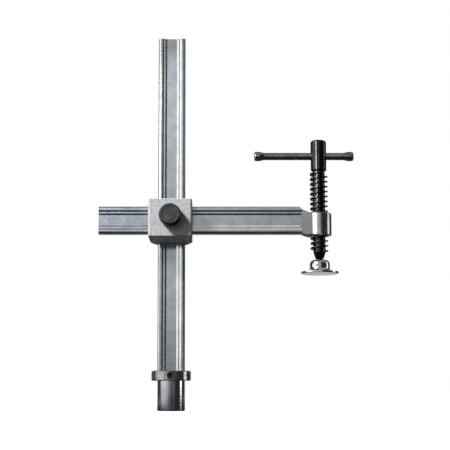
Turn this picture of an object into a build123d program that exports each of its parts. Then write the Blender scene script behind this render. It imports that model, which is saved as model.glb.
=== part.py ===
from build123d import *
import os
from math import ceil, floor, sqrt

os.makedirs("parts", exist_ok=True)

# Welding table fixture clamp, millimetres, +Z up.
# The origin is on the plug's axis where the collar rests on the table top.
# +X points along the arm to the spindle, and the knob faces -Y.

# Table plug and stop collar
plug_d = 27.9
plug_length = 30.0
plug_chamfer = 0.8
collar_seat_d = 27.0
collar_wall = 6.45
collar_height = 10.0
collar_chamfer = 0.8
collar_bore_chamfer = 0.8
collar_clearance = 0.05
spigot_d = 6.0
spigot_length = 16.0
spigot_clearance = 0.05
screw_d = 7.2
screw_clearance = 0.05
screw_socket = 4.0
screw_socket_depth = 2.6
screw_recess = 0.9
screw_tip_gap = 0.05

# Rail section, the same for the upright and the arm
rail_width = 27.6
rail_thickness = 13.0
rail_edge_radius = 2.6
groove_land = 1.25
groove_depth = 2.3
groove_step_width = 1.35
groove_step_depth = 1.1
groove_slope = 1.75
rail_end_chamfer = 0.8

# Upright and arm
rail_top = 352.0
arm_left = -72.4
arm_right = 131.4
arm_height = 159.1
arm_corner_bevel = 3.4

# Cross block
block_width = 42.6
block_floor_wall = 6.5
block_roof_wall = 2.8
block_rear_width = 31.0
block_front_wall = 29.6
block_middle_wall = 7.0
block_rear_wall = 5.8
block_edge_radius = 1.8
block_rim_chamfer = 0.7
window_clearance = 0.15
window_corner_radius = 1.2

# Knob, stud, shoe and transfer pin
knob_d = 21.6
knob_length = 9.4
knob_gap = 0.6
knob_rim_chamfer = 1.7
knob_dish_d = 16.0
knob_dish_depth = 0.5
flute_count = 24
flute_radius = 0.9
flute_depth = 0.35
stud_d = 10.0
stud_clearance = 0.06
stud_grip = 6.0
stud_nib_d = 5.0
stud_nib_length = 5.0
stud_pitch = 1.5
shoe_d = 14.0
shoe_clearance = 0.08
shoe_length = 12.0
shoe_shoulder_gap = 0.45
shoe_nose_clearance = 0.4
shoe_tip_gap = 0.12
shoe_back_room = 2.2
shoe_edge = 0.6
pin_d = 8.0
pin_clearance = 0.06
pin_tip_gap = 0.12
pin_edge = 0.5

# Spindle hub
hub_d = 24.6
hub_below_arm_axis = 15.6
hub_above_arm_axis = 7.5
hub_edge = 1.0
neck_bulge = 1.7
neck_length = 6.5
thread_side_clearance = 0.3
thread_radial_clearance = 0.3

# Spindle
spindle_offset = 16.9
thread_d = 17.9
thread_root_d = 12.3
thread_pitch = 5.0
thread_crest_width = 1.3
thread_base_width = 2.7
thread_root_overlap = 0.25
thread_below_hub = 16.4
thread_length = 82.1
thread_end_land = 0.3
head_d = 15.8
head_length = 31.5
head_edge_radius = 2.2
head_foot_chamfer = 1.3
cone_bottom_d = 8.7
cone_length = 6.8
neck_d = 5.6
ball_d = 10.0
ball_drop = 5.9

# Tommy bar
bar_d = 7.4
bar_clearance = 0.1
bar_drop = 16.0
bar_reach = 64.8
bar_length = 100.1
bulb_d = 9.5
bulb_length = 10.0
bulb_taper = 4.5
bulb_round = 2.0

# Swivel pad and its liners
liner_thickness = 1.0
liner_clearance = 0.05
pad_floor = 2.6
pad_plate_d = 37.7
pad_plate_edge = 1.9
pad_plate_rise = 0.7
pad_cup_d = 20.3
pad_cup_shoulder = 4.4
pad_height = 14.0
pad_flare_radius = 3.6
pad_lip_d = 9.4
pad_lip_land = 0.7
pad_mouth_d = 11.2
seat_top = 0.9
ring_bottom = 2.0
ring_top = 3.6

# Worked out from the sizes above
rail_half_t = rail_thickness / 2
wall_front_of_rail = -rail_half_t - window_clearance
arm_rear = wall_front_of_rail - block_middle_wall
arm_y = arm_rear - window_clearance - rail_half_t
arm_front = arm_y - rail_half_t
block_front = arm_front - window_clearance - block_front_wall
block_rear = rail_half_t + window_clearance + block_rear_wall
groove_step_half = rail_width / 2 - rail_edge_radius - groove_land - groove_slope
groove_floor_half = groove_step_half - groove_step_width - groove_slope
groove_floor_v = rail_half_t - groove_depth
groove_step_v = rail_half_t - groove_step_depth
plug_r = plug_d / 2
seat_r = collar_seat_d / 2
collar_bore_r = seat_r + collar_clearance
collar_r = collar_bore_r + collar_wall
window_half = rail_width / 2 + window_clearance
block_bottom = arm_height - window_half - block_floor_wall
block_top = arm_height + window_half + block_roof_wall
hub_bottom = arm_height - hub_below_arm_axis
hub_top = arm_height + hub_above_arm_axis
thread_r = thread_d / 2
root_r = thread_root_d / 2
thread_bottom = hub_bottom - thread_below_hub
thread_start = thread_bottom + thread_base_width / 2 + thread_end_land
thread_turns = (thread_length - thread_base_width - 2 * thread_end_land) / thread_pitch
head_bottom = thread_bottom + thread_length
head_top = head_bottom + head_length
cone_bottom = thread_bottom - cone_length
ball_z = cone_bottom - ball_drop
spindle_x = arm_right + spindle_offset
spindle_axis = (spindle_x, arm_y, 0)
bar_height = head_top - bar_drop
bar_left = spindle_x - bar_reach
bar_right = bar_left + bar_length


# Rail section: a flat bar with a two-step groove along each wide face
with BuildSketch() as rail_section:
    with BuildLine() as rail_quarter:
        Polyline(
            (0, 0),
            (0, groove_floor_v),
            (groove_floor_half, groove_floor_v),
            (groove_floor_half + groove_slope, groove_step_v),
            (groove_step_half, groove_step_v),
            (groove_step_half + groove_slope, rail_half_t),
            (rail_width / 2 - rail_edge_radius, rail_half_t),
        )
        RadiusArc(
            (rail_width / 2 - rail_edge_radius, rail_half_t),
            (rail_width / 2, rail_half_t - rail_edge_radius),
            rail_edge_radius,
        )
        Polyline(
            (rail_width / 2, rail_half_t - rail_edge_radius),
            (rail_width / 2, 0),
            (0, 0),
        )
    make_face()
    mirror(about=Plane.YZ)
    mirror(about=Plane.XZ)


# Table plug: turned shank with a spigot that fits the upright's end
with BuildPart() as table_plug:
    with BuildSketch(Plane.XZ):
        with BuildLine():
            Polyline(
                (0, -plug_length),
                (plug_r - plug_chamfer, -plug_length),
                (plug_r, -plug_length + plug_chamfer),
                (plug_r, 0),
                (seat_r, 0),
                (seat_r, collar_height),
                (spigot_d / 2, collar_height),
                (spigot_d / 2, collar_height + spigot_length),
                (0, collar_height + spigot_length),
                (0, -plug_length),
            )
        make_face()
    revolve(axis=Axis.Z)

table_plug.part.label = "table_plug"


# Stop collar: a ring on the plug, with one threaded hole for its screw
with BuildPart() as stop_collar:
    with BuildSketch():
        Circle(collar_r)
        Circle(collar_bore_r, mode=Mode.SUBTRACT)
    extrude(amount=collar_height)
    collar_rims = stop_collar.edges().filter_by(GeomType.CIRCLE).filter_by(
        lambda edge: edge.radius > plug_r
    )
    chamfer(collar_rims, collar_chamfer)
    collar_bore_rim = stop_collar.faces().sort_by(Axis.Z)[0].edges().sort_by(SortBy.RADIUS)[0]
    chamfer(collar_bore_rim, collar_bore_chamfer)
    with BuildSketch(Plane.XZ):
        with Locations((0, collar_height / 2)):
            Circle(screw_d / 2 + screw_clearance)
    extrude(amount=2 * collar_r, mode=Mode.SUBTRACT)

stop_collar.part.label = "stop_collar"


# Collar screw: a grub screw with a hexagon socket, tight against the plug
screw_back = -collar_r + screw_recess
screw_tip = -seat_r - screw_tip_gap
with BuildPart() as collar_screw:
    with BuildSketch(Plane.XZ.offset(-screw_tip)):
        with Locations((0, collar_height / 2)):
            Circle(screw_d / 2)
    extrude(amount=screw_tip - screw_back)
    chamfer(collar_screw.edges().filter_by(GeomType.CIRCLE), 0.4)
    with BuildSketch(Plane.XZ.offset(-screw_back)):
        with Locations((0, collar_height / 2)):
            RegularPolygon(screw_socket / 2, 6, major_radius=False)
    extrude(amount=-screw_socket_depth, mode=Mode.SUBTRACT)

collar_screw.part.label = "collar_screw"


# Upright: the rail section from the collar to the top, bored for the spigot
with BuildPart() as vertical_rail:
    with BuildSketch(Plane.XY.offset(collar_height)):
        add(rail_section.sketch)
    extrude(amount=rail_top - collar_height)
    chamfer(vertical_rail.faces().sort_by(Axis.Z)[-1].edges(), rail_end_chamfer / 2)
    with Locations((0, 0, collar_height)):
        Cylinder(
            spigot_d / 2 + spigot_clearance,
            spigot_length + spigot_clearance,
            align=(Align.CENTER, Align.CENTER, Align.MIN),
            mode=Mode.SUBTRACT,
        )

vertical_rail.part.label = "vertical_rail"


# Cross block: steel block with two windows that cross without meeting
window_across = rail_width + 2 * window_clearance
window_through = rail_thickness + 2 * window_clearance
with BuildPart() as cross_block:
    with BuildSketch(Plane.XY.offset(block_bottom)):
        with BuildLine():
            Polyline(
                (-block_width / 2, block_front),
                (block_width / 2, block_front),
                (block_width / 2, -rail_half_t),
                (block_rear_width / 2, block_rear),
                (-block_rear_width / 2, block_rear),
                (-block_width / 2, -rail_half_t),
                (-block_width / 2, block_front),
            )
        make_face()
    extrude(amount=block_top - block_bottom)
    fillet(cross_block.edges().filter_by(Axis.Z), block_edge_radius)
    chamfer(cross_block.faces().filter_by(Axis.Z).edges(), block_rim_chamfer)
    with BuildSketch(Plane.XY.offset(block_bottom)):
        RectangleRounded(window_across, window_through, window_corner_radius)
    extrude(amount=block_top - block_bottom, mode=Mode.SUBTRACT)
    with BuildSketch(Plane.YZ.offset(-block_width / 2)):
        with Locations((arm_y, arm_height)):
            RectangleRounded(window_through, window_across, window_corner_radius)
    extrude(amount=block_width, mode=Mode.SUBTRACT)
    shoe_chamber = shoe_length + shoe_back_room
    with BuildSketch(Plane.XZ.offset(-arm_y)):
        with Locations((0, arm_height)):
            Circle(shoe_d / 2 + shoe_clearance)
    extrude(amount=arm_y - arm_front + window_clearance + shoe_chamber, mode=Mode.SUBTRACT)
    with BuildSketch(Plane.XZ.offset(-arm_y)):
        with Locations((0, arm_height)):
            Circle(stud_d / 2 + stud_clearance)
    extrude(amount=arm_y - block_front, mode=Mode.SUBTRACT)
    with BuildSketch(Plane.XZ):
        with Locations((0, arm_height)):
            Circle(pin_d / 2 + pin_clearance)
    extrude(amount=-arm_y, mode=Mode.SUBTRACT)

cross_block.part.label = "cross_block"


# Transfer pin: passes the clamping push through the wall between the rails
pin_rear = -groove_floor_v - pin_tip_gap
pin_front = arm_y + groove_floor_v + pin_tip_gap
with BuildPart() as transfer_pin:
    with BuildSketch(Plane.XZ.offset(-pin_rear)):
        with Locations((0, arm_height)):
            Circle(pin_d / 2)
    extrude(amount=pin_rear - pin_front)
    chamfer(transfer_pin.edges().filter_by(GeomType.CIRCLE), pin_edge)

transfer_pin.part.label = "transfer_pin"


# Brake shoe: round shoe with a nose that bears on the floor of the arm's groove
shoe_tip = arm_y - groove_floor_v - shoe_tip_gap
shoe_shoulder = arm_front - window_clearance - shoe_shoulder_gap
shoe_back = shoe_shoulder - shoe_length
shoe_nose_r = groove_floor_half - shoe_nose_clearance
with BuildPart() as brake_shoe:
    with BuildSketch(Plane.XZ.offset(-shoe_shoulder)):
        with Locations((0, arm_height)):
            Circle(shoe_d / 2)
    extrude(amount=shoe_length)
    chamfer(brake_shoe.edges().filter_by(GeomType.CIRCLE), shoe_edge)
    with BuildSketch(Plane.XZ.offset(-shoe_tip)):
        with Locations((0, arm_height)):
            Circle(shoe_nose_r)
    extrude(amount=shoe_tip - shoe_shoulder)
    with BuildSketch(Plane.XZ.offset(-shoe_back)):
        with Locations((0, arm_height)):
            Circle(stud_nib_d / 2 + stud_clearance)
    extrude(amount=-stud_nib_length - stud_clearance, mode=Mode.SUBTRACT)

brake_shoe.part.label = "brake_shoe"


# Knob: fluted disc with a bevelled rim and a shallow dish in its face
knob_back = block_front - knob_gap
knob_face = knob_back - knob_length
knob_axis = Axis((0, 0, arm_height), (0, 1, 0))
with BuildPart() as lock_knob:
    with BuildSketch(Plane.YZ):
        with BuildLine():
            Polyline(
                (knob_face, arm_height),
                (knob_face, arm_height + knob_d / 2 - knob_rim_chamfer),
                (knob_face + knob_rim_chamfer, arm_height + knob_d / 2),
                (knob_back - knob_rim_chamfer / 2, arm_height + knob_d / 2),
                (knob_back, arm_height + knob_d / 2 - knob_rim_chamfer / 2),
                (knob_back, arm_height),
                (knob_face, arm_height),
            )
        make_face()
    revolve(axis=knob_axis)
    with BuildSketch(Plane.XZ.offset(-knob_face)):
        with Locations((0, arm_height)):
            Circle(knob_dish_d / 2)
    extrude(amount=-knob_dish_depth, taper=45, mode=Mode.SUBTRACT)
    with BuildSketch(Plane.XZ.offset(-knob_face)):
        with Locations((0, arm_height)):
            with PolarLocations(knob_d / 2 + flute_radius - flute_depth, flute_count):
                Circle(flute_radius)
    extrude(amount=-knob_length, mode=Mode.SUBTRACT)
    with BuildSketch(Plane.XZ.offset(-knob_back)):
        with Locations((0, arm_height)):
            Circle(stud_d / 2)
    extrude(amount=stud_grip, mode=Mode.SUBTRACT)

lock_knob.part.label = "lock_knob"


# Knob stud: pressed into the knob, with a nib that turns in the shoe
stud_end = shoe_back - stud_clearance
stud_start = knob_back - stud_grip
with BuildPart() as knob_stud:
    with BuildSketch(Plane.XZ.offset(-stud_end)):
        with Locations((0, arm_height)):
            Circle(stud_d / 2)
    extrude(amount=stud_end - stud_start)
    with BuildSketch(Plane.XZ.offset(-stud_end)):
        with Locations((0, arm_height)):
            Circle(stud_nib_d / 2)
    extrude(amount=-stud_nib_length)

knob_stud.part.label = "knob_stud"


# Arm: the same rail section, lying level, with its wide face to the front
arm_plane = Plane(origin=(arm_left, arm_y, arm_height), x_dir=(0, 0, 1), z_dir=(1, 0, 0))
arm_bottom = arm_height - rail_width / 2
arm_top = arm_height + rail_width / 2
neck_top = arm_bottom + rail_width - arm_corner_bevel
with BuildPart() as arm_rail:
    with BuildSketch(arm_plane):
        add(rail_section.sketch)
    extrude(amount=arm_right - arm_left)
    chamfer(arm_rail.faces().sort_by(Axis.X)[0].edges(), rail_end_chamfer / 2)
    with BuildSketch(Plane.XZ.offset(-arm_y - rail_half_t)):
        with BuildLine():
            Polyline(
                (arm_right, arm_bottom),
                (arm_right + arm_corner_bevel, arm_bottom),
                (arm_right + arm_corner_bevel, arm_top),
                (arm_right - arm_corner_bevel, arm_top),
                (arm_right, neck_top),
            )
            ThreePointArc(
                (arm_right, neck_top),
                (arm_right - neck_bulge, (arm_bottom + neck_top) / 2),
                (arm_right, arm_bottom),
            )
        make_face()
    extrude(amount=rail_thickness, mode=Mode.SUBTRACT)

arm_rail.part.label = "arm_rail"


def sweep_thread(start_z, turns, inner_r, outer_r, side_clearance=0.0):
    """Sweep the right-hand thread form up the spindle's axis, onto a core of inner_r."""
    half_base = thread_base_width / 2 + side_clearance
    half_crest = thread_crest_width / 2 + side_clearance
    start = (spindle_x, arm_y, start_z)
    with BuildLine(Plane(origin=start)) as thread_path:
        Helix(thread_pitch, thread_pitch * turns, inner_r)
    with BuildSketch(Plane(origin=start, x_dir=(1, 0, 0), z_dir=(0, -1, 0))) as thread_form:
        with BuildLine():
            Polyline(
                (inner_r - thread_root_overlap, -half_base),
                (outer_r, -half_crest),
                (outer_r, half_crest),
                (inner_r - thread_root_overlap, half_base),
                close=True,
            )
        make_face()
    sweep(sections=thread_form.sketch, path=thread_path.line, is_frenet=True)


# Spindle: turned head, core, cone, neck and ball, with a coarse right-hand thread
neck_join = sqrt((ball_d / 2) ** 2 - (neck_d / 2) ** 2)
with BuildPart() as spindle:
    with BuildSketch(Plane(origin=spindle_axis, x_dir=(1, 0, 0), z_dir=(0, -1, 0))):
        with BuildLine():
            Polyline(
                (neck_d / 2, ball_z + neck_join),
                (neck_d / 2, cone_bottom),
                (cone_bottom_d / 2, cone_bottom + 1),
                (root_r, thread_bottom),
                (root_r, head_bottom),
                (head_d / 2 - head_foot_chamfer, head_bottom),
                (head_d / 2, head_bottom + head_foot_chamfer),
                (head_d / 2, head_top - head_edge_radius),
            )
            RadiusArc(
                (head_d / 2, head_top - head_edge_radius),
                (head_d / 2 - head_edge_radius, head_top),
                -head_edge_radius,
            )
            Polyline(
                (head_d / 2 - head_edge_radius, head_top),
                (0, head_top),
                (0, ball_z - ball_d / 2),
            )
            ThreePointArc(
                (0, ball_z - ball_d / 2),
                (ball_d / 2, ball_z),
                (neck_d / 2, ball_z + neck_join),
            )
        make_face()
    revolve(axis=Axis(spindle_axis, (0, 0, 1)))
    sweep_thread(thread_start, thread_turns, root_r, thread_r)
    with BuildSketch(Plane.YZ.offset(spindle_x - head_d)):
        with Locations((arm_y, bar_height)):
            Circle(bar_d / 2 + bar_clearance)
    extrude(amount=2 * head_d, mode=Mode.SUBTRACT)

spindle.part.label = "spindle"


# Spindle hub: boss with a neck that widens from the arm's end, threaded for the spindle
bore_r = root_r + thread_radial_clearance
hub_thread_start = thread_start + thread_pitch * floor((hub_bottom - thread_start) / thread_pitch)
hub_thread_turns = ceil((hub_top - hub_thread_start) / thread_pitch) + 1
with BuildPart() as hub_thread:
    with Locations((spindle_x, arm_y, hub_thread_start - thread_pitch)):
        Cylinder(
            bore_r,
            (hub_thread_turns + 2) * thread_pitch,
            align=(Align.CENTER, Align.CENTER, Align.MIN),
        )
    sweep_thread(
        hub_thread_start,
        hub_thread_turns,
        bore_r,
        thread_r + thread_radial_clearance,
        thread_side_clearance,
    )

hub_right = spindle_x + hub_d / 2
with BuildPart() as spindle_hub:
    with BuildSketch(Plane.XY.offset(hub_bottom)):
        with Locations((spindle_x, arm_y)):
            Circle(hub_d / 2)
        with Locations((arm_right - neck_bulge, arm_y)):
            Rectangle(neck_length, rail_thickness, align=(Align.MIN, Align.CENTER))
        make_hull()
    extrude(amount=neck_top - hub_bottom)
    with BuildSketch(Plane.XZ.offset(-arm_y - hub_d)):
        with BuildLine():
            Polyline(
                (arm_right, arm_bottom),
                (arm_right + neck_length, hub_bottom),
                (hub_right, hub_bottom),
                (hub_right, hub_top),
                (arm_right + neck_length, hub_top),
                (arm_right, neck_top),
            )
            ThreePointArc(
                (arm_right, neck_top),
                (arm_right - neck_bulge, (arm_bottom + neck_top) / 2),
                (arm_right, arm_bottom),
            )
        make_face()
    extrude(amount=2 * hub_d, mode=Mode.INTERSECT)
    hub_rims = spindle_hub.faces().filter_by(Axis.Z).edges().filter_by(GeomType.CIRCLE)
    chamfer(hub_rims, hub_edge)
    add(hub_thread.part, mode=Mode.SUBTRACT)

spindle_hub.part.label = "spindle_hub"


# Tommy bar: round bar through the spindle's head, with both ends upset
bar_axis = Axis((bar_left, arm_y, bar_height), (1, 0, 0))
bar_plane = Plane(origin=(0, arm_y, bar_height), x_dir=(1, 0, 0), z_dir=(0, -1, 0))
with BuildPart() as tommy_bar:
    with BuildSketch(bar_plane):
        with BuildLine():
            Polyline(
                (bar_right - bulb_round, bulb_d / 2),
                (bar_right - bulb_length + bulb_taper, bulb_d / 2),
                (bar_right - bulb_length, bar_d / 2),
                (bar_left + bulb_length, bar_d / 2),
                (bar_left + bulb_length - bulb_taper, bulb_d / 2),
                (bar_left + bulb_round, bulb_d / 2),
            )
            RadiusArc((bar_left + bulb_round, bulb_d / 2), (bar_left, bulb_d / 2 - bulb_round), -bulb_round)
            Polyline(
                (bar_left, bulb_d / 2 - bulb_round),
                (bar_left, 0),
                (bar_right, 0),
                (bar_right, bulb_d / 2 - bulb_round),
            )
            RadiusArc((bar_right, bulb_d / 2 - bulb_round), (bar_right - bulb_round, bulb_d / 2), -bulb_round)
        make_face()
    revolve(axis=bar_axis)

tommy_bar.part.label = "tommy_bar"


# Ball seat and ball ring: two bands of one spherical shell round the spindle's ball
ball_centre = (spindle_x, arm_y, ball_z)
liner_inner_r = ball_d / 2 + liner_clearance
liner_outer_r = liner_inner_r + liner_thickness
socket_r = liner_outer_r + liner_clearance
with BuildPart(Plane(ball_centre)) as ball_seat:
    Sphere(liner_outer_r)
    Sphere(liner_inner_r, mode=Mode.SUBTRACT)
    split(bisect_by=Plane((0, 0, ball_z + seat_top)), keep=Keep.BOTTOM)

ball_seat.part.label = "ball_seat"

with BuildPart(Plane(ball_centre)) as ball_ring:
    Sphere(liner_outer_r)
    Sphere(liner_inner_r, mode=Mode.SUBTRACT)
    split(bisect_by=Plane((0, 0, ball_z + ring_bottom)), keep=Keep.TOP)
    split(bisect_by=Plane((0, 0, ball_z + ring_top)), keep=Keep.BOTTOM)

ball_ring.part.label = "ball_ring"


# Swivel pad: turned foot with a cup whose lip is closed over the ball
pad_bottom = ball_z - socket_r - pad_floor
pad_top = pad_bottom + pad_height
cup_r = pad_cup_d / 2
plate_r = pad_plate_d / 2
flare_bottom = pad_bottom + pad_plate_edge + pad_plate_rise
lip_r = pad_lip_d / 2
lip_z = ball_z + sqrt(socket_r ** 2 - lip_r ** 2)
pad_plane = Plane(origin=(spindle_x, arm_y, 0), x_dir=(1, 0, 0), z_dir=(0, -1, 0))
with BuildPart() as swivel_pad:
    with BuildSketch(pad_plane):
        with BuildLine():
            Polyline((0, ball_z - socket_r), (0, pad_bottom), (plate_r - pad_plate_edge / 4, pad_bottom))
            Polyline(
                (plate_r - pad_plate_edge / 4, pad_bottom),
                (plate_r, pad_bottom + pad_plate_edge / 4),
                (plate_r, pad_bottom + pad_plate_edge),
                (cup_r + pad_flare_radius, flare_bottom),
            )
            RadiusArc(
                (cup_r + pad_flare_radius, flare_bottom),
                (cup_r, flare_bottom + pad_flare_radius),
                pad_flare_radius,
            )
            Line(
                (cup_r, flare_bottom + pad_flare_radius),
                (cup_r, pad_top - pad_cup_shoulder),
            )
            RadiusArc(
                (cup_r, pad_top - pad_cup_shoulder),
                (cup_r - pad_cup_shoulder, pad_top),
                -pad_cup_shoulder,
            )
            Polyline(
                (cup_r - pad_cup_shoulder, pad_top),
                (pad_mouth_d / 2, pad_top),
                (lip_r, lip_z + pad_lip_land),
                (lip_r, lip_z),
            )
            ThreePointArc((lip_r, lip_z), (socket_r, ball_z), (0, ball_z - socket_r))
        make_face()
    revolve(axis=Axis(spindle_axis, (0, 0, 1)))

swivel_pad.part.label = "swivel_pad"


for piece in (
    table_plug,
    stop_collar,
    collar_screw,
    vertical_rail,
    cross_block,
    transfer_pin,
    brake_shoe,
    lock_knob,
    knob_stud,
    arm_rail,
    spindle_hub,
    spindle,
    tommy_bar,
    ball_seat,
    ball_ring,
    swivel_pad,
):
    export_step(piece.part, f"parts/{piece.part.label}.step")
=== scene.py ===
import math

import bmesh
import bpy
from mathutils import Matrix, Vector


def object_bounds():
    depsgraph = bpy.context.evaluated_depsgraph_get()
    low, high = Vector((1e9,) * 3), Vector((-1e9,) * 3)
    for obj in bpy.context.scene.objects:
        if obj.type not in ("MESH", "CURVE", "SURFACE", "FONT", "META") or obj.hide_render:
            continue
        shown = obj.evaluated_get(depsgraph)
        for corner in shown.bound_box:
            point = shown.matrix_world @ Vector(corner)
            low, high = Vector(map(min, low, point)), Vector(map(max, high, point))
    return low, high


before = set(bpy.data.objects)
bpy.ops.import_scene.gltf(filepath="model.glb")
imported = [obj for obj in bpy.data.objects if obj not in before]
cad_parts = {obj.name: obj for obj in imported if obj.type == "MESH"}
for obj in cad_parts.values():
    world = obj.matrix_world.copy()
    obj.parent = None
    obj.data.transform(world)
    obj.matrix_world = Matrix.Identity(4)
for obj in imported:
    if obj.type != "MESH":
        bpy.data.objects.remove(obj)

cad_low, cad_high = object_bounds()
scene = bpy.context.scene
scene.view_settings.view_transform = "Standard"
bpy.ops.object.select_all(action="DESELECT")

# Camera: about 1.1 metres in front of the clamp and level with the table top,
# so that it looks up at the block and the arm. Its places are pixels of the
# 450 pixel photograph, turned into metres at the upright's own distance.
photo_px = 450
metres_per_px = 0.00101
view_px = 1100
eye_px = (205.0, 385.0)
plug_px = (171.4, 380.8)
camera_shift_up = 0.07
sensor_mm = 36.0
eye = Vector((
    (eye_px[0] - plug_px[0]) * metres_per_px,
    -view_px * metres_per_px,
    (plug_px[1] - eye_px[1]) * metres_per_px,
))
pitch = math.atan((eye_px[1] - photo_px * (0.5 + camera_shift_up)) / view_px)
camera_data = bpy.data.cameras.new("camera")
camera_data.sensor_width = sensor_mm
camera_data.lens = sensor_mm * view_px / photo_px
camera_data.shift_x = (photo_px / 2 - eye_px[0]) / photo_px
camera_data.shift_y = camera_shift_up
camera = bpy.data.objects.new("camera", camera_data)
camera.location = eye
camera.rotation_euler = (math.pi / 2 + pitch, 0.0, 0.0)
scene.collection.objects.link(camera)
scene.camera = camera


# Studio: a white room with one key lamp at the upper left. Reflections see a
# soft wall at the left, a bright strip at the right, graded grey in front and
# dark walls between, and those bands give the polished steel its edges.
def add_node(tree, kind, **settings):
    node = tree.nodes.new(kind)
    for name, value in settings.items():
        setattr(node, name, value)
    return node


def link(tree, source, target):
    tree.links.new(source, target)


white = (1.0, 1.0, 1.0)
room_fill = 0.05
world = bpy.data.worlds.new("white_room")
world.use_nodes = True
scene.world = world
room = world.node_tree
room.nodes.clear()
room_path = add_node(room, "ShaderNodeLightPath")
room_mix = add_node(room, "ShaderNodeMixRGB")
room_mix.inputs["Color1"].default_value = (*white, 1.0)
room_mix.inputs["Color2"].default_value = (room_fill, room_fill, room_fill, 1.0)
link(room, room_path.outputs["Is Diffuse Ray"], room_mix.inputs["Fac"])
room_light = add_node(room, "ShaderNodeBackground")
link(room, room_mix.outputs["Color"], room_light.inputs["Color"])
room_out = add_node(room, "ShaderNodeOutputWorld")
link(room, room_light.outputs[0], room_out.inputs["Surface"])


def glowing_paint(name, tint, strength):
    """A paint that only gives off light, and its glow."""
    paint = bpy.data.materials.new(name)
    paint.use_nodes = True
    tree = paint.node_tree
    tree.nodes.clear()
    glow = add_node(tree, "ShaderNodeEmission")
    glow.inputs["Color"].default_value = (*tint, 1.0)
    glow.inputs["Strength"].default_value = strength
    out = add_node(tree, "ShaderNodeOutputMaterial")
    link(tree, glow.outputs[0], out.inputs["Surface"])
    return paint, glow


def leave_to_reflections(thing):
    """Let only reflections see a wall or card."""
    thing.visible_camera = False
    thing.visible_diffuse = False
    thing.visible_shadow = False
    thing.visible_transmission = False


panel_degrees = 6.0


def studio_wall(name, radius, from_degrees, to_degrees, tint, levels):
    """Part of a round wall, whose glow changes with height.

    The angles start at the camera's side and grow towards the right, and levels
    are pairs of a height in metres and the glow there.
    """
    low = levels[0][0]
    high = levels[-1][0]
    steps = max(2, round((to_degrees - from_degrees) / panel_degrees))
    mesh = bpy.data.meshes.new(name)
    shell = bmesh.new()
    columns = []
    for step in range(steps + 1):
        angle = math.radians(from_degrees + (to_degrees - from_degrees) * step / steps)
        x = radius * math.sin(angle)
        y = -radius * math.cos(angle)
        columns.append((shell.verts.new((x, y, low)), shell.verts.new((x, y, high))))
    for left, right in zip(columns, columns[1:]):
        shell.faces.new((left[0], right[0], right[1], left[1]))
    shell.to_mesh(mesh)
    shell.free()
    wall = bpy.data.objects.new(name, mesh)
    scene.collection.objects.link(wall)
    paint, glow = glowing_paint(name, tint, 1.0)
    tree = paint.node_tree
    place = add_node(tree, "ShaderNodeNewGeometry")
    parts = add_node(tree, "ShaderNodeSeparateXYZ")
    link(tree, place.outputs["Position"], parts.inputs[0])
    share = add_node(tree, "ShaderNodeMapRange")
    share.inputs["From Min"].default_value = low
    share.inputs["From Max"].default_value = high
    link(tree, parts.outputs["Z"], share.inputs["Value"])
    ramp = add_node(tree, "ShaderNodeValToRGB")
    stops = ramp.color_ramp.elements
    while len(stops) < len(levels):
        stops.new(0.5)
    for stop, (height, level) in zip(stops, levels):
        stop.position = (height - low) / (high - low)
        stop.color = (level, level, level, 1.0)
    link(tree, share.outputs["Result"], ramp.inputs["Fac"])
    link(tree, ramp.outputs["Color"], glow.inputs["Strength"])
    mesh.materials.append(paint)
    leave_to_reflections(wall)


wall_radius = 1.4
back_radius = 1.0
low_radius = 1.3
wall_foot = -0.1
wall_top = 1.1
back_top = 0.9
low_top = 0.02
blue = (0.6, 0.77, 1.0)
cool = (0.93, 1.0, 1.04)
cool_grey_left = (0.78, 0.82, 0.84)
cool_grey_right = (0.78, 0.85, 0.87)
cool_dark_grey = (0.6, 0.64, 0.66)
front_levels = [
    (wall_foot, 0.6), (0.015, 0.6), (0.03, 0.22), (0.066, 0.27), (0.09, 0.31), (0.113, 0.42),
    (0.18, 0.57), (0.28, 0.68), (0.31, 0.62), (0.44, 0.47), (0.5, 0.55), (0.553, 0.76),
    (0.62, 0.8), (0.664, 0.73), (0.691, 0.86), (0.719, 0.92), (0.745, 0.84), (0.76, 0.6),
    (0.77, 0.15), (0.9, 0.05),
]
soft_edge_levels = [
    (wall_foot, 0.8), (0.04, 0.8), (0.08, 0.3), (0.29, 0.3), (0.32, 1.6), (0.42, 1.6),
    (0.45, 0.3), (wall_top, 0.3),
]
soft_levels = [(wall_foot, 0.85), (0.02, 0.85), (0.05, 1.6), (wall_top, 1.6)]
soft_far_levels = [(wall_foot, 0.25), (0.02, 0.25), (0.05, 1.6), (wall_top, 1.6)]
grey_levels = [(wall_foot, 0.25), (wall_top, 0.35)]
dark_levels = [(wall_foot, 0.02), (wall_top, 0.05)]
strip_levels = [(wall_foot, 2.4), (0.04, 2.4), (0.1, 1.4), (wall_top, 1.4)]
back_dark_levels = [(wall_foot, 0.02), (back_top, 0.03)]
back_corner_levels = [(wall_foot, 0.1), (back_top, 0.18)]
back_levels = [(wall_foot, 0.6), (back_top, 0.7)]
stand_levels = [(wall_foot, 0.03), (low_top, 0.03)]
low_grey_levels = [(wall_foot, 0.2), (low_top, 0.2)]
low_grey_right_levels = [(wall_foot, 0.16), (low_top, 0.16)]
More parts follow.
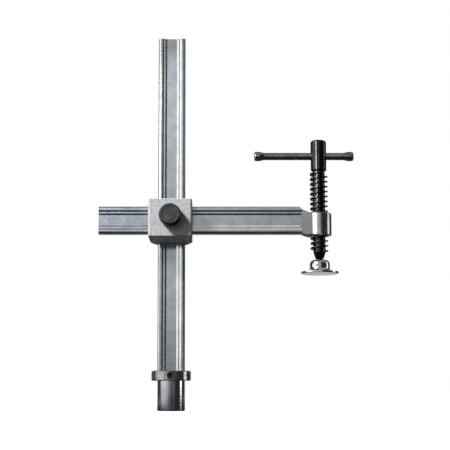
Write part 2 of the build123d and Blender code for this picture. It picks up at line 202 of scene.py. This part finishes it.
walls = [
    ("front_wall_far_left", wall_radius, -25.0, -11.0, cool_grey_left, front_levels),
    ("front_wall_left", wall_radius, -11.0, -3.5, blue, front_levels),
    ("front_wall_middle", wall_radius, -3.5, 4.0, cool, front_levels),
    ("front_wall_right", wall_radius, 4.0, 8.0, cool_grey_right, front_levels),
    ("front_wall_far_right", wall_radius, 8.0, 17.0, cool_dark_grey, front_levels),
    ("soft_wall_edge", wall_radius, -46.0, -25.0, white, soft_edge_levels),
    ("soft_wall", wall_radius, -88.0, -46.0, white, soft_levels),
    ("soft_wall_far", wall_radius, -95.0, -88.0, white, soft_far_levels),
    ("grey_wall", wall_radius, -104.0, -95.0, white, grey_levels),
    ("dark_wall", wall_radius, 17.0, 80.0, white, dark_levels),
    ("strip_wall", wall_radius, 81.0, 99.0, white, strip_levels),
    ("back_wall_right", back_radius, 100.0, 130.0, white, back_dark_levels),
    ("back_corner_right", back_radius, 130.0, 150.0, white, back_corner_levels),
    ("back_wall", back_radius, 150.0, 210.0, white, back_levels),
    ("back_corner_left", back_radius, 210.0, 230.0, white, back_corner_levels),
    ("back_wall_left", back_radius, 230.0, 256.0, white, back_dark_levels),
    ("camera_stand", low_radius, -4.0, 7.0, white, stand_levels),
    ("low_grey_wall", low_radius, 7.0, 17.0, white, low_grey_levels),
    ("low_grey_wall_right", low_radius, 17.0, 35.0, white, low_grey_right_levels),
]
for wall_values in walls:
    studio_wall(*wall_values)


# Cards: for what faces down or up, a dark card and a paler one lie over the
# floor, and a dark ceiling with a light strip hangs above. A small bright card
# at the left gives the spindle's black finish its narrow light line.
def turned_towards(place, target, axis):
    """The turn that points an axis of a card or lamp from its place at a target."""
    aim = Vector(target) - Vector(place)
    return aim.to_track_quat(axis, "Y").to_euler()


def studio_card(name, place, target, width, height, colour, strength):
    """A flat card that only reflections see, facing a target."""
    bpy.ops.mesh.primitive_plane_add(size=1.0)
    card = bpy.context.object
    card.name = name
    card.scale = (width, height, 1.0)
    card.location = place
    card.rotation_euler = turned_towards(place, target, "Z")
    card.data.materials.append(glowing_paint(name, colour, strength)[0])
    leave_to_reflections(card)
    card.select_set(False)


card_gap = 0.0001
card_level = cad_low.z - card_gap
cards = [
    ("low_card", (0.32, -0.34, card_level), (0.32, -0.34, 1.0), 1.24, 1.16, (0.03, 0.03, 0.033), 1.0),
    ("low_side_card", (-0.61, -0.5, card_level), (-0.61, -0.5, 1.0), 0.6, 0.84, (0.7, 0.7, 0.72), 1.0),
    ("ceiling", (0.05, -0.1, 1.1), (0.05, -0.1, 0.0), 3.0, 2.6, (0.16, 0.16, 0.165), 1.0),
    ("overhead_strip", (0.81, -0.28, 1.08), (0.81, -0.28, 0.0), 1.6, 0.26, white, 0.9),
    ("spindle_card", (-0.3, -0.58, 0.4), (0.148, -0.02, 0.4), 0.22, 0.22, white, 14.0),
]
for card_values in cards:
    studio_card(*card_values)


# Key lamp: one square soft lamp at the upper left, in front of the clamp, which
# gives the block its light face and throws the knob's shadow to the lower right.
key_place = (-0.85, -0.73, 1.11)
key_target = (0.0, -0.05, 0.16)
key_size = 0.24
key_watts = 34.0
key_data = bpy.data.lights.new("key_lamp", "AREA")
key_data.size = key_size
key_data.energy = key_watts
key_lamp = bpy.data.objects.new("key_lamp", key_data)
key_lamp.location = key_place
key_lamp.rotation_euler = turned_towards(key_place, key_target, "-Z")
scene.collection.objects.link(key_lamp)


# Floor: white where the camera looks straight at it, apart from the soft shadow
# under the plug, pale in reflections, and nearly black for the light that it
# throws back.
floor_size = 8.0
floor_gap = 0.0002
floor_throwback = 0.04
floor_glow = 1.3
glow_for_camera = 0.75
glow_in_reflections = 0.15
bpy.ops.mesh.primitive_plane_add(size=floor_size, location=(0.0, 0.0, cad_low.z - floor_gap))
floor = bpy.context.object
floor.name = "floor"
floor_paint = bpy.data.materials.new("pale_floor")
floor_paint.use_nodes = True
floor_tree = floor_paint.node_tree
floor_tree.nodes.clear()
floor_path = add_node(floor_tree, "ShaderNodeLightPath")
floor_colour = add_node(floor_tree, "ShaderNodeMixRGB")
floor_colour.inputs["Color1"].default_value = (floor_throwback, floor_throwback, floor_throwback, 1.0)
floor_colour.inputs["Color2"].default_value = (*white, 1.0)
link(floor_tree, floor_path.outputs["Is Camera Ray"], floor_colour.inputs["Fac"])
floor_matte = add_node(floor_tree, "ShaderNodeBsdfDiffuse")
link(floor_tree, floor_colour.outputs["Color"], floor_matte.inputs["Color"])
floor_white = add_node(floor_tree, "ShaderNodeEmission")
floor_white.inputs["Strength"].default_value = floor_glow
floor_share = add_node(floor_tree, "ShaderNodeMath", operation="MULTIPLY")
floor_share.inputs[1].default_value = glow_for_camera
link(floor_tree, floor_path.outputs["Is Camera Ray"], floor_share.inputs[0])
floor_gleam = add_node(floor_tree, "ShaderNodeMath", operation="MULTIPLY_ADD")
floor_gleam.inputs[1].default_value = glow_in_reflections
link(floor_tree, floor_path.outputs["Is Glossy Ray"], floor_gleam.inputs[0])
link(floor_tree, floor_share.outputs[0], floor_gleam.inputs[2])
floor_mix = add_node(floor_tree, "ShaderNodeMixShader")
link(floor_tree, floor_gleam.outputs[0], floor_mix.inputs["Fac"])
link(floor_tree, floor_matte.outputs[0], floor_mix.inputs[1])
link(floor_tree, floor_white.outputs[0], floor_mix.inputs[2])
floor_out = add_node(floor_tree, "ShaderNodeOutputMaterial")
link(floor_tree, floor_mix.outputs[0], floor_out.inputs["Surface"])
floor.data.materials.append(floor_paint)
floor.select_set(False)


# Rails: two bars of bright drawn steel, one upright and one across. Drawing
# leaves fine lines along the bar, and handling leaves soft patches. Painted
# shade darkens their rounded edges.
def make_drawn_lines():
    """Fine lines along one axis and soft patches, as two masks."""
    group = bpy.data.node_groups.new("drawn_lines", "ShaderNodeTree")
    group.interface.new_socket("Stretch", in_out="INPUT", socket_type="NodeSocketVector")
    group.interface.new_socket("Patch Size", in_out="INPUT", socket_type="NodeSocketFloat")
    group.interface.new_socket("Lines", in_out="OUTPUT", socket_type="NodeSocketFloat")
    group.interface.new_socket("Patches", in_out="OUTPUT", socket_type="NodeSocketFloat")
    entry = add_node(group, "NodeGroupInput")
    way_out = add_node(group, "NodeGroupOutput")
    place = add_node(group, "ShaderNodeTexCoord")
    stretch = add_node(group, "ShaderNodeVectorMath", operation="MULTIPLY")
    link(group, place.outputs["Object"], stretch.inputs[0])
    link(group, entry.outputs["Stretch"], stretch.inputs[1])
    lines = add_node(group, "ShaderNodeTexNoise")
    lines.inputs["Scale"].default_value = 1.0
    lines.inputs["Detail"].default_value = 4.0
    lines.inputs["Roughness"].default_value = 0.6
    link(group, stretch.outputs[0], lines.inputs["Vector"])
    link(group, lines.outputs["Fac"], way_out.inputs["Lines"])
    patches = add_node(group, "ShaderNodeTexNoise")
    patches.inputs["Detail"].default_value = 3.0
    patches.inputs["Roughness"].default_value = 0.55
    link(group, place.outputs["Object"], patches.inputs["Vector"])
    link(group, entry.outputs["Patch Size"], patches.inputs["Scale"])
    link(group, patches.outputs["Fac"], way_out.inputs["Patches"])
    return group


drawn_lines = make_drawn_lines()
patch_band = (0.38, 0.62)
line_band = (0.3, 0.7)
relief_strength = 0.6


def steel(name, dark, light, rough, stretch, patch_size, line_height, metallic=1.0):
    """Steel whose colour follows the patches, and its gloss and relief the lines."""
    material = bpy.data.materials.new(name)
    material.use_nodes = True
    tree = material.node_tree
    tree.nodes.clear()
    shader = add_node(tree, "ShaderNodeBsdfPrincipled")
    shader.inputs["Metallic"].default_value = metallic
    lines = add_node(tree, "ShaderNodeGroup", node_tree=drawn_lines)
    lines.inputs["Stretch"].default_value = stretch
    lines.inputs["Patch Size"].default_value = patch_size
    colours = add_node(tree, "ShaderNodeValToRGB")
    for stop, position, colour in zip(colours.color_ramp.elements, patch_band, (dark, light)):
        stop.position = position
        stop.color = (*colour, 1.0)
    link(tree, lines.outputs["Patches"], colours.inputs["Fac"])
    link(tree, colours.outputs["Color"], shader.inputs["Base Color"])
    roughness = add_node(tree, "ShaderNodeMapRange")
    roughness.inputs["From Min"].default_value = line_band[0]
    roughness.inputs["From Max"].default_value = line_band[1]
    roughness.inputs["To Min"].default_value = rough[0]
    roughness.inputs["To Max"].default_value = rough[1]
    link(tree, lines.outputs["Lines"], roughness.inputs["Value"])
    link(tree, roughness.outputs["Result"], shader.inputs["Roughness"])
    relief = add_node(tree, "ShaderNodeBump")
    relief.inputs["Distance"].default_value = line_height
    relief.inputs["Strength"].default_value = relief_strength
    link(tree, lines.outputs["Lines"], relief.inputs["Height"])
    link(tree, relief.outputs["Normal"], shader.inputs["Normal"])
    out = add_node(tree, "ShaderNodeOutputMaterial")
    link(tree, shader.outputs[0], out.inputs["Surface"])
    return material


def finish_node(node, material):
    """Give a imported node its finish."""
    piece = bpy.data.objects[node]
    piece.data.materials.clear()
    piece.data.materials.append(material)


def shader_of(material):
    """The shader that a finish ends in."""
    return next(node for node in material.node_tree.nodes if node.type == "BSDF_PRINCIPLED")


def make_rail_edges():
    """A mask that is 1 on a rail's two rounded edges and 0 between them."""
    group = bpy.data.node_groups.new("rail_edges", "ShaderNodeTree")
    group.interface.new_socket("Across", in_out="INPUT", socket_type="NodeSocketVector")
    group.interface.new_socket("Middle", in_out="INPUT", socket_type="NodeSocketFloat")
    group.interface.new_socket("From Half", in_out="INPUT", socket_type="NodeSocketFloat")
    group.interface.new_socket("To Half", in_out="INPUT", socket_type="NodeSocketFloat")
    group.interface.new_socket("Edge", in_out="OUTPUT", socket_type="NodeSocketFloat")
    entry = add_node(group, "NodeGroupInput")
    way_out = add_node(group, "NodeGroupOutput")
    place = add_node(group, "ShaderNodeTexCoord")
    across = add_node(group, "ShaderNodeVectorMath", operation="DOT_PRODUCT")
    link(group, place.outputs["Object"], across.inputs[0])
    link(group, entry.outputs["Across"], across.inputs[1])
    offset = add_node(group, "ShaderNodeMath", operation="SUBTRACT")
    link(group, across.outputs["Value"], offset.inputs[0])
    link(group, entry.outputs["Middle"], offset.inputs[1])
    reach = add_node(group, "ShaderNodeMath", operation="ABSOLUTE")
    link(group, offset.outputs[0], reach.inputs[0])
    edge = add_node(group, "ShaderNodeMapRange")
    link(group, entry.outputs["From Half"], edge.inputs["From Min"])
    link(group, entry.outputs["To Half"], edge.inputs["From Max"])
    link(group, reach.outputs[0], edge.inputs["Value"])
    link(group, edge.outputs["Result"], way_out.inputs["Edge"])
    return group


rail_edges = make_rail_edges()


def paint_edge_shade(material, across, middle, from_half, to_half, colour):
    """Paint shade on a rail's rounded edges by darkening their colour there."""
    tree = material.node_tree
    base_colour = shader_of(material).inputs["Base Color"]
    edges = add_node(tree, "ShaderNodeGroup", node_tree=rail_edges)
    edges.inputs["Across"].default_value = across
    edges.inputs["Middle"].default_value = middle
    edges.inputs["From Half"].default_value = from_half
    edges.inputs["To Half"].default_value = to_half
    # Painted shade: the edge mask mixes the given dark colour into the base colour.
    colours = add_node(tree, "ShaderNodeMixRGB")
    colours.inputs["Color2"].default_value = (*colour, 1.0)
    link(tree, edges.outputs["Edge"], colours.inputs["Fac"])
    link(tree, base_colour.links[0].from_socket, colours.inputs["Color1"])
    link(tree, colours.outputs["Color"], base_colour)


arm_height = 0.1591
upright_steel = steel(
    "drawn_steel_upright", dark=(0.54, 0.55, 0.56), light=(0.64, 0.65, 0.66), rough=(0.1, 0.18),
    stretch=(900.0, 900.0, 12.0), patch_size=90.0, line_height=0.000005, metallic=0.8,
)
arm_steel = steel(
    "drawn_steel_arm", dark=(0.54, 0.55, 0.56), light=(0.64, 0.65, 0.66), rough=(0.16, 0.24),
    stretch=(12.0, 900.0, 900.0), patch_size=90.0, line_height=0.000005, metallic=0.88,
)
# Painted shade on both rails' rounded edges: these dark colours stand in for the shade there.
paint_edge_shade(
    upright_steel, across=(1.0, 0.0, 0.0), middle=0.0, from_half=0.0128, to_half=0.0132,
    colour=(0.09, 0.09, 0.095),
)
paint_edge_shade(
    arm_steel, across=(0.0, 0.0, 1.0), middle=arm_height, from_half=0.0130, to_half=0.0134,
    colour=(0.2, 0.2, 0.205),
)
finish_node("vertical_rail", upright_steel)
finish_node("arm_rail", arm_steel)


# Cross block: milled from one steel bar, with two windows at right angles that
# the rails slide through, one behind the other. It is blasted, so its faces are
# pale and even, with a fine grain.
block_steel = steel(
    "blasted_steel", dark=(0.5, 0.51, 0.5), light=(0.66, 0.65, 0.67), rough=(0.5, 0.6),
    stretch=(900.0, 900.0, 900.0), patch_size=420.0, line_height=0.00008, metallic=0.05,
)
finish_node("cross_block", block_steel)


# Pin and shoe inside the block: hardened and ground round pieces. They pass the
# knob's push on to the rails, and their bores hide them.
pin_steel = steel(
    "ground_pins", dark=(0.4, 0.4, 0.42), light=(0.55, 0.55, 0.57), rough=(0.25, 0.35),
    stretch=(200.0, 2000.0, 200.0), patch_size=90.0, line_height=0.00002,
)
finish_node("transfer_pin", pin_steel)
finish_node("brake_shoe", pin_steel)


# Knob and its stud: turned steel with a black finish. The stud is pressed into
# the knob, and its thread turns in the block's front.
knob_black = steel(
    "black_knob", dark=(0.035, 0.035, 0.037), light=(0.075, 0.075, 0.078), rough=(0.35, 0.5),
    stretch=(700.0, 700.0, 700.0), patch_size=160.0, line_height=0.00005, metallic=0.6,
)
finish_node("lock_knob", knob_black)
finish_node("knob_stud", knob_black)


# Plug and collar: ground and turned steel, with fine rings round the axis. The
# collar is a ring round the plug, with a black set screw in its side.
plug_steel = steel(
    "ground_plug", dark=(0.52, 0.53, 0.55), light=(0.64, 0.65, 0.68), rough=(0.08, 0.14),
    stretch=(40.0, 40.0, 2200.0), patch_size=60.0, line_height=0.000003,
)
collar_steel = steel(
    "turned_collar", dark=(0.34, 0.34, 0.34), light=(0.54, 0.54, 0.54), rough=(0.13, 0.26),
    stretch=(500.0, 500.0, 900.0), patch_size=420.0, line_height=0.00001, metallic=0.95,
)
finish_node("table_plug", plug_steel)
finish_node("stop_collar", collar_steel)
finish_node("collar_screw", knob_black)


# Hub and pad: turned and polished steel. The hub's neck, which joins it to the
# arm, keeps the darker and rougher skin of the forging.
def leave_forged(material, from_x, to_x, colour, rough):
    """Darken and roughen a steel on the side of low x, with a soft edge."""
    tree = material.node_tree
    base_colour = shader_of(material).inputs["Base Color"]
    base_rough = shader_of(material).inputs["Roughness"]
    place = add_node(tree, "ShaderNodeTexCoord")
    parts = add_node(tree, "ShaderNodeSeparateXYZ")
    link(tree, place.outputs["Object"], parts.inputs[0])
    turned = add_node(tree, "ShaderNodeMapRange")
    turned.inputs["From Min"].default_value = from_x
    turned.inputs["From Max"].default_value = to_x
    link(tree, parts.outputs["X"], turned.inputs["Value"])
    colours = add_node(tree, "ShaderNodeMixRGB")
    colours.inputs["Color1"].default_value = (*colour, 1.0)
    link(tree, turned.outputs["Result"], colours.inputs["Fac"])
    link(tree, base_colour.links[0].from_socket, colours.inputs["Color2"])
    link(tree, colours.outputs["Color"], base_colour)
    roughness = add_node(tree, "ShaderNodeMapRange")
    roughness.inputs["To Min"].default_value = rough
    link(tree, turned.outputs["Result"], roughness.inputs["Value"])
    link(tree, base_rough.links[0].from_socket, roughness.inputs["To Max"])
    link(tree, roughness.outputs["Result"], base_rough)


hub_steel = steel(
    "polished_hub", dark=(0.5, 0.5, 0.52), light=(0.62, 0.62, 0.64), rough=(0.16, 0.26),
    stretch=(60.0, 60.0, 1400.0), patch_size=80.0, line_height=0.000004,
)
pad_steel = steel(
    "polished_pad", dark=(0.6, 0.6, 0.62), light=(0.74, 0.74, 0.76), rough=(0.1, 0.18),
    stretch=(60.0, 60.0, 1400.0), patch_size=120.0, line_height=0.000004,
)
leave_forged(hub_steel, from_x=0.1403, to_x=0.142, colour=(0.085, 0.085, 0.088), rough=0.45)
finish_node("spindle_hub", hub_steel)
finish_node("swivel_pad", pad_steel)


# Spindle: steel with a coarse thread, black finished and oiled. It screws
# through the hub, and the ball at its lower end turns in the pad.
spindle_black = steel(
    "oiled_black", dark=(0.03, 0.03, 0.032), light=(0.055, 0.055, 0.057), rough=(0.05, 0.08),
    stretch=(300.0, 300.0, 1200.0), patch_size=140.0, line_height=0.000005, metallic=0.9,
)
finish_node("spindle", spindle_black)


# Tommy bar: a drawn bar, dark and burnished, that slides through the spindle's
# head. Both ends are upset, so that it can't slide out.
bar_steel = steel(
    "burnished_bar", dark=(0.26, 0.26, 0.265), light=(0.4, 0.4, 0.41), rough=(0.1, 0.16),
    stretch=(30.0, 900.0, 900.0), patch_size=140.0, line_height=0.000003,
)
finish_node("tommy_bar", bar_steel)


# Ball liners: a seat and a ring of moulded nylon that the spindle's ball turns
# in, hidden in the pad's cup.
nylon = steel(
    "nylon_liner", dark=(0.6, 0.58, 0.54), light=(0.7, 0.68, 0.64), rough=(0.4, 0.5),
    stretch=(400.0, 400.0, 400.0), patch_size=200.0, line_height=0.00002, metallic=0.0,
)
finish_node("ball_seat", nylon)
finish_node("ball_ring", nylon)
